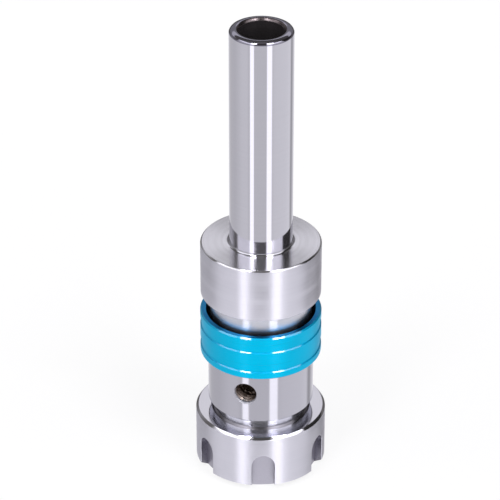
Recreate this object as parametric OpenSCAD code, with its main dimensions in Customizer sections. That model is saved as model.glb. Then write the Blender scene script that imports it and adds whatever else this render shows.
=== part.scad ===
// Floating collet chuck: a straight shank above, a collet chuck and its clamping nut below.
// The chuck shifts sideways on two rows of balls, and a cross disc keeps it from turning.
// The origin is the centre of the nut's front face. +Z runs up the shank, and -Y is the front.

/* [Shank] */
// Diameter of the straight shank
shank_d = 20; // [18:0.5:25]
// Length of the shank above the flange
shank_l = 74.1; // [50:0.1:110]
// Diameter of the coolant bore
bore_d = 14; // [10:0.5:14.5]
// Width of the rounded bevel at the shank's end
end_bevel_w = 2; // [0.5:0.1:2]
// Height of the rounded bevel at the shank's end
end_bevel_h = 1; // [0.5:0.1:4]
// Width of the countersink at the mouth of the bore
mouth_bevel_w = 0.7; // [0.2:0.1:0.8]
// Depth of the countersink at the mouth of the bore
mouth_bevel_h = 1; // [0.4:0.1:4]
// Radius of the fillet at the shank's foot
foot_fillet = 1; // [0.3:0.1:2]

/* [Flange and neck] */
// Diameter of the flange
flange_d = 38.4; // [36:0.1:48]
// Thickness of the flange
flange_t = 18.3; // [8:0.1:30]
// Bevel round the flange's upper edge
flange_bevel = 0.5; // [0.2:0.1:1.5]
// Bevel round the flange's lower edge
flange_foot_bevel = 0.3; // [0.1:0.1:1]
// Diameter of the neck that floats inside the cover ring
neck_d = 32.6; // [31:0.1:33]
// Length of the neck under the flange
neck_l = 9.76; // [8:0.01:20]
// Diameter of the stem that carries the thrust collar
stem_d = 21; // [19:0.1:21.4]

/* [Chuck body] */
// Outer diameter of the chuck body
body_d = 33.9; // [32.5:0.1:36]
// Length of the body from its shoulder to its rim
body_l = 25.4; // [24:0.1:40]
// Bevel round the body's shoulder
body_bevel = 0.4; // [0.1:0.1:1]
// Diameter of the cavity that holds the float drive
cavity_d = 29.2; // [29:0.1:30]
// Gap between the nut and the body's shoulder
relief_gap = 3.6; // [1:0.1:6]
// Depth of the thread relief in that gap, below the thread's root
relief_depth = 0.3; // [0.1:0.05:1]
// Diameter of the tool bore behind the collet seat
tool_bore_d = 16.5; // [12:0.5:17]

/* [Collet seat] */
// Diameter of the collet seat at the nose
seat_d = 26; // [25:0.1:26.6]
// Half angle of the collet seat
seat_angle = 8; // [6:0.5:9]

/* [Thread] */
// How far the thread lies inside the middle of the wall between the seat and the nut's outside
thread_inset = 1; // [0.9:0.05:1.1]
// Pitch of the nut thread
thread_pitch = 1.5; // [1:0.25:2]
// Depth of one flank of the thread
thread_depth = 0.4; // [0.2:0.05:0.5]

/* [Clamping nut] */
// Outer diameter of the clamping nut
nut_d = 42; // [40:0.1:50]
// Height of the clamping nut
nut_h = 20; // [17:0.1:28]
// Bevel round the nut's back edge
nut_bevel = 0.8; // [0.2:0.1:1.5]
// Height of the cone round the nut's front face
nut_cone_h = 1.75; // [0.5:0.05:4]
// Width of the cone round the nut's front face
nut_cone_w = 3; // [0.5:0.1:3.2]
// Diameter of the nut's mouth
mouth_d = 24.4; // [22:0.1:26]
// Thickness of the lip round the nut's mouth
lip_t = 1.6; // [1:0.1:3]
// Number of spanner slots
slot_count = 6; // [4:1:8]
// Width of a spanner slot
slot_w = 7.2; // [4:0.1:9]
// Height of a spanner slot to the top of its arch
slot_h = 13; // [8:0.1:16]
// Depth of a spanner slot
slot_depth = 3; // [1:0.1:3.2]
// Turn of the first slot from the front
slot_turn = 2.5; // [-30:0.5:30]

/* [Extraction ring] */
// Wall of the extraction ring outside the collet seat
eject_wall = 1.15; // [0.8:0.05:1.3]
// Height of the extraction ring
eject_h = 3.3; // [3:0.1:5]
// Half angle of the cone that presses on the collet
eject_angle = 30; // [20:1:35]
// Sideways offset of the lip that pulls the collet out
eject_offset = 0.5; // [0.2:0.1:0.7]
// Wire diameter of the snap ring that holds the extraction ring
circlip_d = 0.8; // [0.6:0.1:1.2]

/* [Clamp screws] */
// Diameter of a clamp screw hole
screw_hole_d = 7; // [5:0.1:7.6]
// Bevel round the mouth of a clamp screw hole
screw_hole_bevel = 0.1; // [0.1:0.1:0.6]
// Height of the clamp screws above the body's shoulder
screw_height = 10.4; // [9.5:0.1:11]
// Depth of a clamp screw below the body's surface
screw_recess = 4.7; // [1:0.1:5.5]
// Length of a clamp screw
screw_l = 6; // [4:0.1:6.5]
// Width across the flats of a clamp screw's socket
screw_key = 4; // [2.5:0.1:4]
// Depth of a clamp screw's socket
screw_key_depth = 3; // [1:0.1:3]
// Turn of the first clamp screw from the front
screw_turn = -17; // [-45:1:45]

/* [Cover ring] */
// Wall of the cover ring outside the body
ring_wall = 2.4; // [2:0.1:4]
// Height of the cover ring
ring_h = 15.2; // [13.8:0.1:18]
// Length of the body that the cover ring grips
ring_grip = 7.6; // [6.5:0.1:9]
// Gap between the cover ring's mouth and the neck at the end of its float
ring_mouth_gap = 0.44; // [0.44:0.01:0.9]
// Height of the cover ring's middle band
band_mid_h = 4.7; // [2:0.1:6]
// Height of each groove in the cover ring
band_groove_h = 2.55; // [1:0.05:3]
// Depth of each groove in the cover ring
band_groove_depth = 0.35; // [0.1:0.05:0.6]
// Radius of the cover ring's rounded edges
ring_edge = 0.6; // [0.2:0.1:0.8]

/* [Float] */
// How far the chuck floats to each side
float_travel = 0.5; // [0.2:0.1:0.5]
// Diameter of the upper balls
upper_ball_d = 2; // [1.5:0.1:2.2]
// Diameter of the lower balls
lower_ball_d = 1.6; // [1.4:0.1:2]
// Number of balls in each row
ball_count = 18; // [12:1:18]
// Thickness of the two bearing races
race_t = 0.8; // [0.8:0.1:1.5]
// Length of the gland nut inside the body
gland_l = 3.6; // [3.4:0.1:5]
// Thickness of the gland nut's flange
gland_flange_t = 1.2; // [0.9:0.1:2]
// Thickness of the thrust collar
collar_t = 2.3; // [2.2:0.1:4]
// Thickness of the cross disc
disc_t = 2.6; // [2:0.1:4]
// Width of the driving lugs
lug_w = 6; // [4:0.1:8]
// Wire diameter of the buffer ring in the gland nut
buffer_d = 1.8; // [1.2:0.1:1.8]
// Wire diameter of the grip ring under the cover ring
grip_d = 1; // [0.6:0.1:1.2]

/* [Fits] */
// Radial clearance of a running fit
run_clear = 0.05; // [0.02:0.01:0.08]
// Gap between faces that slide or roll on each other
face_gap = 0.02; // [0.01:0.01:0.05]
// Sideways gap of a driving lug in its slot
lug_gap = 0.02; // [0.01:0.01:0.05]
// Gap above and below the cross disc
disc_gap = 0.1; // [0.05:0.01:0.2]

/* [Hidden] */
$fn = 96;

// Radii
shank_r = shank_d / 2;
bore_r = bore_d / 2;
flange_r = flange_d / 2;
neck_r = neck_d / 2;
stem_r = stem_d / 2;
body_r = body_d / 2;
cavity_r = cavity_d / 2;
seat_r = seat_d / 2;
nut_r = nut_d / 2;
ring_bore_r = body_r + run_clear;
ring_r = ring_bore_r + ring_wall;

// The chuck's thread crests and the nut's thread crests meet in a running fit
thread_r = (seat_r + nut_r) / 2 - thread_inset;
fit_r = thread_r - thread_depth;
nut_thread_r = fit_r + run_clear;
relief_r = fit_r - thread_depth - relief_depth;
thread_lead = 0.8;

// Heights in the nut, from its front face up
eject_r = seat_r + eject_wall;
pocket_r = eject_r + run_clear;
eject_z = lip_t + run_clear;
circlip_z = eject_z + eject_h + run_clear + circlip_d / 2;
circlip_groove_r = circlip_d / 2 + run_clear;
circlip_wall = 0.6;
pocket_z = circlip_z + circlip_groove_r + circlip_wall;
nose_gap = 0.2;
nose_z = pocket_z + nose_gap;
seat_bevel = 0.3;

// Heights in the chuck body
shoulder_z = nut_h + relief_gap;
rim_z = shoulder_z + body_l;
screw_z = shoulder_z + screw_height;
seat_land = 0.3;
seat_z = screw_z - screw_hole_d / 2 - seat_land;
seat_top_r = seat_r - (seat_z - nose_z) * tan(seat_angle);
thread_top_z = nut_h - 0.5;

// Heights of the float drive, down from the body's rim
gland_z = rim_z - gland_l;
lower_ball_z = gland_z - face_gap - lower_ball_d / 2;
collar_top_z = gland_z - lower_ball_d - 2 * face_gap;
collar_z = collar_top_z - collar_t;
disc_z = collar_z - disc_gap - disc_t;
floor_z = disc_z - disc_gap;

// Heights of the float drive, up from the body's rim
gland_top_z = rim_z + gland_flange_t;
race_recess = 0.6;
lower_race_z = gland_top_z - race_recess;
upper_ball_z = lower_race_z + race_t + face_gap + upper_ball_d / 2;
upper_race_z = lower_race_z + race_t + upper_ball_d + 2 * face_gap;
neck_z = upper_race_z + race_t;
flange_z = neck_z + neck_l;
flange_top_z = flange_z + flange_t;
top_z = flange_top_z + shank_l;

// The chuck can stand off centre by the float in both directions at once
float_reach = float_travel * sqrt(2);
float_spare = 0.03;
gland_bore_r = stem_r + float_reach + 0.2;
buffer_r = stem_r + float_reach + float_spare + buffer_d / 2;
collar_r = cavity_r - float_reach - 0.3;
gland_r = cavity_r - run_clear;
gland_flange_r = body_r - 0.15;
disc_r = cavity_r - 1.7;
disc_bore_r = bore_r + float_reach + 0.3;
lug_in_r = disc_bore_r + 2;
lug_out_r = collar_r - 0.3;
lug_drop = disc_t - 0.3;

// Ball rows
ball_r = (stem_r + cavity_r) / 2 + 0.15;
race_half_w = 1.2;
race_in_r = ball_r - race_half_w;
race_out_r = ball_r + race_half_w;
cage_t = 0.8;
cage_hole_gap = 0.05;
cage_half_w = upper_ball_d / 2 + cage_hole_gap + 0.2;

// The dust seal lies on the gland nut and its lip meets the neck
seal_in_r = ball_r + cage_half_w + float_travel + 0.1;
seal_foot_r = neck_r - 0.2;
seal_lip_r = neck_r - float_reach - 0.2;
seal_foot_t = 1;
seal_lip_t = 0.5;

// Cover ring
ring_z = rim_z - ring_grip;
ring_top_z = ring_z + ring_h;
ring_mouth_r = max(ring_bore_r, neck_r + float_reach) + ring_mouth_gap;
band_end_h = (ring_h - band_mid_h - 2 * band_groove_h) / 2;
band_slope = 0.3;
grip_z = ring_z + 3.1;
grip_r = body_r - grip_d / 2;
ring_mouth_z = grip_z + grip_d / 2 + 0.7;

// Small fasteners
lock_r = 1.2;
lock_key = 1.3;
lock_key_depth = 1;
lock_z = gland_z + 1.2;
lock_turn = 60;
pin_r = 1;
pin_depth = 2;
pin_count = 2;
screw_count = 3;
screw_out_r = body_r - screw_recess;
screw_r = screw_hole_d / 2 - run_clear;
tip_bevel = 0.7;

// Points of an arc, from one angle to another
function arc(centre, r, from, to, steps = 6) =
    [for (i = [0:steps]) let (a = from + (to - from) * i / steps)
        [centre[0] + r[0] * cos(a), centre[1] + r[1] * sin(a)]];

// Points of a row of thread grooves between two heights, cut from one radius to another
function thread_row(z0, z1, crest, root) =
    let (turns = floor((z1 - z0) / thread_pitch))
    [for (i = [0:turns - 1], p = [[crest, 0.1], [root, 0.5], [crest, 0.9]])
        [p[0], z0 + (i + p[1]) * thread_pitch]];

// A hexagon by its width across the flats
function hex_r(flats) = flats / sqrt(3);

// A flat ring with square edges
module washer(out_r, in_r, z, t) {
    rotate_extrude()
        translate([in_r, z])
            square([out_r - in_r, t]);
}

// A ring of round wire
module wire_ring(r, wire_d, z) {
    rotate_extrude()
        translate([r, z])
            circle(d = wire_d, $fn = 48);
}

// Copies round the axis, starting at the front and turning towards +X
module around(count, first = 0) {
    for (i = [0:count - 1])
        rotate([0, 0, first - 90 + 360 * i / count])
            children();
}

// A round bar along a radius, from one radius to another
module radial_bar(r, from, to, z) {
    translate([from, 0, z])
        rotate([0, 90, 0])
            cylinder(r = r, h = to - from, $fn = 48);
}

// A driving lug or its slot, with straight sides along a radius
module lug(from, to, width, z, t) {
    translate([from, -width / 2, z])
        cube([to - from, width, t]);
}

module shank_body() {
    end_arc = arc([shank_r - end_bevel_w, top_z - end_bevel_h], [end_bevel_w, end_bevel_h], 0, 90);
    foot_arc = arc([shank_r + foot_fillet, flange_top_z + foot_fillet],
                   [foot_fillet, foot_fillet], 270, 180);
    color([0.78, 0.78, 0.81])
        difference() {
            rotate_extrude()
                polygon(concat(
                    [[bore_r, collar_z], [stem_r, collar_z],
                     [stem_r, neck_z], [neck_r - 0.2, neck_z], [neck_r, neck_z + 0.2],
                     [neck_r, flange_z], [flange_r - flange_foot_bevel, flange_z],
                     [flange_r, flange_z + flange_foot_bevel],
                     [flange_r, flange_top_z - flange_bevel],
                     [flange_r - flange_bevel, flange_top_z]],
                    foot_arc, end_arc,
                    [[bore_r + mouth_bevel_w, top_z], [bore_r, top_z - mouth_bevel_h]]));
            around(pin_count)
                radial_bar(pin_r + face_gap, stem_r - pin_depth, stem_r + 1, collar_z + collar_t / 2);
        }
}

module upper_race() {
    color([0.6, 0.6, 0.63])
        washer(race_out_r, race_in_r, upper_race_z, race_t);
}

module thrust_collar() {
    color([0.55, 0.55, 0.58])
        difference() {
            union() {
                washer(collar_r, stem_r + face_gap, collar_z, collar_t);
                around(2, 90)
                    lug(lug_in_r, lug_out_r, lug_w, collar_z - lug_drop, lug_drop + 0.1);
            }
            around(pin_count)
                radial_bar(pin_r + face_gap, stem_r - 1, collar_r + 1, collar_z + collar_t / 2);
        }
}

module collar_pins() {
    color([0.4, 0.4, 0.42])
        around(pin_count)
            radial_bar(pin_r, stem_r - pin_depth + face_gap, collar_r - 0.3, collar_z + collar_t / 2);
}

module cross_disc() {
    slot_in_r = lug_in_r - float_travel - 0.2;
    color([0.7, 0.66, 0.55])
        difference() {
            washer(disc_r, disc_bore_r, disc_z, disc_t);
            around(4)
                lug(slot_in_r, disc_r + 1, lug_w + 2 * lug_gap, disc_z - 1, disc_t + 2);
        }
}

module ball_cage(z, ball_d) {
    difference() {
        washer(ball_r + cage_half_w, ball_r - cage_half_w, z - cage_t / 2, cage_t);
        around(ball_count)
            translate([ball_r, 0, z - cage_t])
                cylinder(d = ball_d + 2 * cage_hole_gap, h = 2 * cage_t, $fn = 32);
    }
}

module ball_row(z, ball_d) {
    around(ball_count)
        translate([ball_r, 0, z])
            sphere(d = ball_d, $fn = 32);
}

module upper_ball_cage() {
    color([0.72, 0.58, 0.3])
        ball_cage(upper_ball_z, upper_ball_d);
}

module upper_balls() {
    color([0.8, 0.8, 0.82])
        ball_row(upper_ball_z, upper_ball_d);
}

module lower_ball_cage() {
    color([0.72, 0.58, 0.3])
        ball_cage(lower_ball_z, lower_ball_d);
}

module lower_balls() {
    color([0.8, 0.8, 0.82])
        ball_row(lower_ball_z, lower_ball_d);
}

module collet_chuck() {
    grip_groove = grip_d + 0.1;
    color([0.75, 0.74, 0.78])
        difference() {
            rotate_extrude()
                polygon(concat(
                    [[seat_r + seat_bevel, nose_z], [fit_r - thread_lead, nose_z],
                     [fit_r, nose_z + thread_lead]],
                    thread_row(nose_z + thread_lead, thread_top_z, fit_r, fit_r - thread_depth),
                    [[fit_r, thread_top_z], [relief_r, thread_top_z + thread_lead],
                     [relief_r, shoulder_z], [body_r - body_bevel, shoulder_z],
                     [body_r, shoulder_z + body_bevel],
                     [body_r, grip_z - grip_groove / 2],
                     [grip_r - grip_d / 2 - face_gap, grip_z - grip_groove / 2],
                     [grip_r - grip_d / 2 - face_gap, grip_z + grip_groove / 2],
                     [body_r, grip_z + grip_groove / 2],
                     [body_r, rim_z], [cavity_r, rim_z], [cavity_r, floor_z],
                     [tool_bore_d / 2, floor_z], [tool_bore_d / 2, seat_z],
                     [seat_top_r, seat_z], [seat_r, nose_z + seat_bevel]]));
            around(screw_count, screw_turn)
                screw_hole();
            around(screw_count, screw_turn + lock_turn)
                radial_bar(lock_r + face_gap, stem_r, body_r + 1, lock_z);
        }
    color([0.75, 0.74, 0.78])
        around(2)
            lug(lug_in_r, cavity_r + 0.5, lug_w, floor_z - 0.5, lug_drop + 0.5);
}

// A clamp screw hole from the tool bore outwards, with a bevelled mouth
module screw_hole() {
    hole_r = screw_hole_d / 2;
    edge_r = sqrt(body_r * body_r - hole_r * hole_r);
    radial_bar(hole_r, 0, body_r + 1, screw_z);
    translate([edge_r - screw_hole_bevel, 0, screw_z])
        rotate([0, 90, 0])
            cylinder(r1 = hole_r, r2 = hole_r + 2, h = 2, $fn = 48);
}

module gland_nut() {
    buffer_groove = buffer_d + 0.2;
    groove_z = (gland_z + rim_z) / 2;
    spanner_w = 3;
    spanner_depth = 1.4;
    color([0.5, 0.5, 0.53])
        difference() {
            rotate_extrude()
                polygon([
                    [gland_bore_r, gland_z], [gland_r, gland_z], [gland_r, rim_z],
                    [gland_flange_r, rim_z], [gland_flange_r, gland_top_z],
                    [race_out_r + face_gap, gland_top_z], [race_out_r + face_gap, lower_race_z],
                    [gland_bore_r, lower_race_z],
                    [gland_bore_r, groove_z + buffer_groove / 2],
                    [buffer_r + buffer_d / 2, groove_z + buffer_groove / 2],
                    [buffer_r + buffer_d / 2, groove_z - buffer_groove / 2],
                    [gland_bore_r, groove_z - buffer_groove / 2]]);
            around(4)
                lug(gland_flange_r - spanner_depth, gland_flange_r + 1, spanner_w,
                    rim_z + 0.3, gland_flange_t);
        }
}

module gland_lock_screws() {
    out_r = body_r - 0.3;
    color([0.2, 0.2, 0.22])
        around(screw_count, screw_turn + lock_turn)
            difference() {
                radial_bar(lock_r, gland_r + face_gap, out_r, lock_z);
                translate([out_r - lock_key_depth, 0, lock_z])
                    rotate([0, 90, 0])
                        cylinder(r = hex_r(lock_key), h = lock_key_depth + 1, $fn = 6);
            }
}

module lower_race() {
    color([0.6, 0.6, 0.63])
        washer(race_out_r, race_in_r, lower_race_z, race_t);
}

module buffer_ring() {
    color([0.12, 0.12, 0.13])
        wire_ring(buffer_r, buffer_d - 2 * face_gap, (gland_z + rim_z) / 2);
}

module dust_seal() {
    foot_z = gland_top_z + face_gap;
    color([0.1, 0.1, 0.11])
        rotate_extrude()
            polygon([
                [seal_in_r, foot_z], [seal_foot_r, foot_z], [seal_foot_r, foot_z + seal_foot_t],
                [seal_in_r + seal_lip_t, foot_z + seal_foot_t],
                [seal_lip_r, neck_z - face_gap],
                [seal_lip_r - seal_lip_t / 2, neck_z - face_gap],
                [seal_in_r, foot_z + seal_foot_t]]);
}

module grip_ring() {
    color([0.12, 0.12, 0.13])
        wire_ring(grip_r, grip_d, grip_z);
}

module cover_ring() {
    groove_r = ring_r - band_groove_depth;
    low_z = ring_z + band_end_h;
    mid_z = low_z + band_groove_h;
    high_z = mid_z + band_mid_h;
    top_band_z = high_z + band_groove_h;
    color([0.03, 0.62, 0.8])
        rotate_extrude()
            polygon(concat(
                [[ring_bore_r + 0.3, ring_z]],
                arc([ring_r - ring_edge, ring_z + ring_edge], [ring_edge, ring_edge], 270, 360),
                [[ring_r, low_z - band_slope], [groove_r, low_z],
                 [groove_r, mid_z], [ring_r, mid_z + band_slope],
                 [ring_r, high_z - band_slope], [groove_r, high_z],
                 [groove_r, top_band_z], [ring_r, top_band_z + band_slope]],
                arc([ring_r - ring_edge, ring_top_z - ring_edge], [ring_edge, ring_edge], 0, 90),
                [[ring_mouth_r + 0.15, ring_top_z], [ring_mouth_r, ring_top_z - 0.15],
                 [ring_mouth_r, ring_mouth_z + 0.3], [ring_bore_r, ring_mouth_z],
                 [ring_bore_r, ring_z + 0.3]]));
}

module clamping_nut() {
    color([0.8, 0.8, 0.82])
        difference() {
            rotate_extrude()
                polygon(concat(
                    [[mouth_d / 2 + 0.3, 0], [nut_r - nut_cone_w, 0], [nut_r, nut_cone_h],
                     [nut_r, nut_h - nut_bevel], [nut_r - nut_bevel, nut_h],
                     [nut_thread_r + thread_depth, nut_h],
                     [nut_thread_r, nut_h - thread_depth]],
                    [for (i = [0:len(nut_thread) - 1]) nut_thread[len(nut_thread) - 1 - i]],
                    [[nut_thread_r, pocket_z], [pocket_r, pocket_z],
                     [pocket_r, circlip_z + circlip_groove_r],
                     [pocket_r + circlip_groove_r, circlip_z + circlip_groove_r],
                     [pocket_r + circlip_groove_r, circlip_z - circlip_groove_r],
                     [pocket_r, circlip_z - circlip_groove_r],
                     [pocket_r, lip_t], [mouth_d / 2, lip_t], [mouth_d / 2, 0.3]]));
            around(slot_count, slot_turn)
                spanner_slot();
        }
}

// Heights of the nut's own thread grooves
nut_thread = thread_row(pocket_z + 0.4, nut_h - thread_depth, nut_thread_r,
                        nut_thread_r + thread_depth);

// A spanner slot with a flat floor, open to the nut's front and arched at its top
module spanner_slot() {
    floor_r = nut_r - slot_depth;
    arch_z = slot_h - slot_w / 2;
    radial_bar(slot_w / 2, floor_r, nut_r + 1, arch_z);
    lug(floor_r, nut_r + 1, slot_w, -1, arch_z + 1);
}

module extraction_ring() {
    cone_top_r = seat_r - 0.1;
    lip_h = 1.2;
    cone_h = eject_h - lip_h - 0.4;
    cone_low_r = cone_top_r - cone_h * tan(eject_angle);
    color([0.55, 0.56, 0.6])
        difference() {
            cylinder_at(eject_r, eject_z, eject_h);
            translate([0, 0, eject_z + eject_h - cone_h])
                cylinder(r1 = cone_low_r, r2 = cone_top_r, h = cone_h + 0.001);
            cylinder_at(cone_low_r, eject_z + lip_h, eject_h);
            translate([eject_offset, 0, 0])
                cylinder_at(cone_low_r - 0.6, eject_z - 1, eject_h);
        }
}

// A plain cylinder that starts at a height
module cylinder_at(r, z, h) {
    translate([0, 0, z])
        cylinder(r = r, h = h);
}

module nut_snap_ring() {
    mouth_angle = 26;
    color([0.35, 0.35, 0.38])
        rotate([0, 0, mouth_angle / 2])
            rotate_extrude(angle = 360 - mouth_angle)
                translate([pocket_r, circlip_z])
                    circle(d = circlip_d, $fn = 32);
}

// A clamp screw with a flat tip and a hexagon socket, in its place among the three
module clamp_screw(index) {
    color([0.16, 0.15, 0.16])
        rotate([0, 0, screw_turn - 90 + 360 * index / screw_count])
            translate([screw_out_r, 0, screw_z])
                rotate([0, 90, 0])
                    difference() {
                        union() {
                            translate([0, 0, -screw_l])
                                cylinder(r1 = screw_r - tip_bevel, r2 = screw_r, h = tip_bevel);
                            translate([0, 0, tip_bevel - screw_l])
                                cylinder(r = screw_r, h = screw_l - tip_bevel - 0.3);
                            translate([0, 0, -0.3])
                                cylinder(r1 = screw_r, r2 = screw_r - 0.3, h = 0.3);
                        }
                        translate([0, 0, -screw_key_depth])
                            cylinder(r = hex_r(screw_key), h = screw_key_depth + 1, $fn = 6);
                        translate([0, 0, -0.4])
                            cylinder(r1 = screw_key / 2, r2 = screw_key / 2 + 0.5, h = 0.5);
                    }
}

module clamp_screw_1() {
    clamp_screw(0);
}

module clamp_screw_2() {
    clamp_screw(1);
}

module clamp_screw_3() {
    clamp_screw(2);
}

shank_body();
upper_race();
thrust_collar();
collar_pins();
cross_disc();
upper_ball_cage();
upper_balls();
lower_ball_cage();
lower_balls();
collet_chuck();
gland_nut();
gland_lock_screws();
lower_race();
buffer_ring();
dust_seal();
grip_ring();
cover_ring();
clamping_nut();
extraction_ring();
nut_snap_ring();
clamp_screw_1();
clamp_screw_2();
clamp_screw_3();
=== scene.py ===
# %% [markdown]
# # A floating collet chuck, dressed for its picture
#
# The holder stands on its clamping nut. From the top down it has a ground shank, a turned flange,
# a neck that floats inside a loose blue ring, the chuck body with its clamp screws, and the nut.
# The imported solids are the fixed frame. The lesson replaces the parts that show with smooth turned
# pieces of the same sizes, gives every part the finish it has on the real holder, and lights it
# like a small steel product in a photo tent.

# %% Load the frame and keep its box
import math

import bpy
from mathutils import Euler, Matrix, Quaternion, Vector


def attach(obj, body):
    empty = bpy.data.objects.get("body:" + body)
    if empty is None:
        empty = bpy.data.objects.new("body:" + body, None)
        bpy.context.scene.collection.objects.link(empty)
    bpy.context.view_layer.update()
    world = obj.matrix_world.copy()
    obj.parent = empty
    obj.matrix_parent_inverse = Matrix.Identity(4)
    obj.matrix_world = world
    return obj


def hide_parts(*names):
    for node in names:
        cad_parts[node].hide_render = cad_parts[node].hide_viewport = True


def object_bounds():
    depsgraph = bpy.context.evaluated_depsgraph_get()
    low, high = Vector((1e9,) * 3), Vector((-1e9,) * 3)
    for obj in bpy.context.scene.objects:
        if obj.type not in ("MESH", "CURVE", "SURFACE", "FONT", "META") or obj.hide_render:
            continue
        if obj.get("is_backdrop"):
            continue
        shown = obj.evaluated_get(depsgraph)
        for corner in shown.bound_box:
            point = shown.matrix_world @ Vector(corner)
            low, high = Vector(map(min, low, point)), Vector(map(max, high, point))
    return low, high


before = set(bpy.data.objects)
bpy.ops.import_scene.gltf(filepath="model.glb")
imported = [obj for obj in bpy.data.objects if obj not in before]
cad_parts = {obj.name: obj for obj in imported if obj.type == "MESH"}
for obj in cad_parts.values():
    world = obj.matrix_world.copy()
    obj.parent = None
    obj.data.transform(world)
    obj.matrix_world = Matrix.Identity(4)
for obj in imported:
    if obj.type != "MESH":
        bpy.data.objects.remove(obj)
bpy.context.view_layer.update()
MM = 0.001

# %% [markdown]
# ## Drawing a profile
#
# Almost everything here was made on a lathe, so it can be made the same way in Blender: draw half
# of the section as a closed line of points, then spin it round the axis. A box or a cylinder
# primitive would have to be cut back again and again, while a section carries every shoulder,
# groove and bevel at once. No machined edge is perfectly sharp. A tiny flat on each corner catches
# the light, so the helper breaks every corner before the spin.

# %% Section helpers
def arc(centre, radii, first, last, steps=6):
    """Points of an arc in the section, from one angle to another in degrees."""
    return [
        (
            centre[0] + radii[0] * math.cos(math.radians(first + (last - first) * i / steps)),
            centre[1] + radii[1] * math.sin(math.radians(first + (last - first) * i / steps)),
        )
        for i in range(steps + 1)
    ]


def groove_row(low, high, pitch, crest, root):
    """Points of thread grooves cut from the crest to the root between two heights."""
    turns = math.floor((high - low) / pitch + 1e-6)
    shape = ((crest, 0.1), (root, 0.5), (crest, 0.9))
    return [(r, low + (i + share) * pitch) for i in range(turns) for r, share in shape]


SHALLOW_BEND = 25
LARGEST_SHARE = 0.3


def broken(section, width=0.06):
    """The section with each sharp corner replaced by a small flat.

    A bend of fewer degrees than SHALLOW_BEND stays, and a flat takes a share of its side at most.
    """
    points = []
    for i, corner in enumerate(section):
        here = Vector(corner)
        back = Vector(section[i - 1]) - here
        ahead = Vector(section[(i + 1) % len(section)]) - here
        if 180 - math.degrees(back.angle(ahead)) < SHALLOW_BEND:
            points.append(corner)
            continue
        for side in (back, ahead):
            reach = min(width, side.length * LARGEST_SHARE)
            points.append(tuple(here + side.normalized() * reach))
    return points


# %% [markdown]
# ## The lathe
#
# The plane primitive is merged to one point, the point is extruded along the section, and Spin
# turns the line into a body. 192 steps keep the edge of the 42 mm nut round to a hundredth of a
# millimetre. Spin can leave a shape inside out, so doubles are merged and normals recalculated.
# Smooth shading would lean the long walls towards their small edge breaks and bend every
# reflection, so the Weighted Normal modifier lets the large faces keep their own direction.

# %% The lathe helper
STEPS, SMALL_STEPS, PIN_STEPS = 192, 64, 24
MERGE, SMOOTH_ANGLE = 0.0005, 30
# A section that ends on the axis stops this near to it.
ON_AXIS = 0.0005


def only(*pieces):
    """Selects these pieces and nothing else; the first becomes active."""
    bpy.ops.object.select_all(action="DESELECT")
    for piece in pieces:
        piece.select_set(True)
    bpy.context.view_layer.objects.active = pieces[0]


def finish_mesh(piece):
    """Merges doubles, points the faces outwards and smooths all but the real edges."""
    only(piece)
    bpy.ops.object.mode_set(mode="EDIT")
    bpy.ops.mesh.select_all(action="SELECT")
    bpy.ops.mesh.remove_doubles(threshold=MERGE * MM)
    bpy.ops.mesh.normals_make_consistent(inside=False)
    bpy.ops.object.mode_set(mode="OBJECT")
    bpy.ops.object.shade_smooth_by_angle(angle=math.radians(SMOOTH_ANGLE))
    weighted = piece.modifiers.new("Weighted normals", "WEIGHTED_NORMAL")
    weighted.keep_sharp = True
    bpy.ops.object.modifier_apply(modifier=weighted.name)
    return piece


def turned(name, section, steps=STEPS):
    """A body of revolution from a closed section of (radius, height) in millimetres."""
    bpy.ops.object.select_all(action="DESELECT")
    bpy.ops.mesh.primitive_plane_add(size=MM, location=(0, 0, 0))
    piece = bpy.context.object
    piece.name = piece.data.name = name
    bpy.ops.object.mode_set(mode="EDIT")
    bpy.ops.mesh.merge(type="CENTER")
    r, z = section[0]
    bpy.ops.transform.translate(value=(r * MM, 0, z * MM))
    for (r0, z0), (r1, z1) in zip(section, section[1:] + section[:1]):
        step = ((r1 - r0) * MM, 0, (z1 - z0) * MM)
        bpy.ops.mesh.extrude_region_move(TRANSFORM_OT_translate={"value": step})
    bpy.ops.mesh.select_all(action="SELECT")
    bpy.ops.mesh.remove_doubles(threshold=MERGE * MM)
    bpy.ops.mesh.spin(steps=steps, angle=math.tau, center=(0, 0, 0), axis=(0, 0, 1))
    bpy.ops.object.mode_set(mode="OBJECT")
    finish_mesh(piece)
    print(name, "turned:", len(piece.data.polygons), "faces")
    return piece


# %% [markdown]
# ## Drilling and milling
#
# Cross holes and spanner slots are cut after turning, as in the workshop. A cutter is a primitive
# laid along a radius, and a Boolean modifier takes it away from the body. The modifier is applied,
# so the piece keeps a plain mesh.

# %% Cutters
def radial_cutter(radius, inner, outer, height, turn, sides=SMALL_STEPS):
    """A cylinder along a radius, at a height, turned round the axis in degrees."""
    bpy.ops.object.select_all(action="DESELECT")
    middle = (inner + outer) / 2 * MM
    turn = math.radians(turn)
    bpy.ops.mesh.primitive_cylinder_add(
        vertices=sides,
        radius=radius * MM,
        depth=(outer - inner) * MM,
        location=(middle * math.cos(turn), middle * math.sin(turn), height * MM),
        rotation=(0, math.pi / 2, turn),
    )
    cutter = bpy.context.object
    bpy.ops.object.transform_apply(location=True, rotation=True, scale=True)
    return cutter


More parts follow.
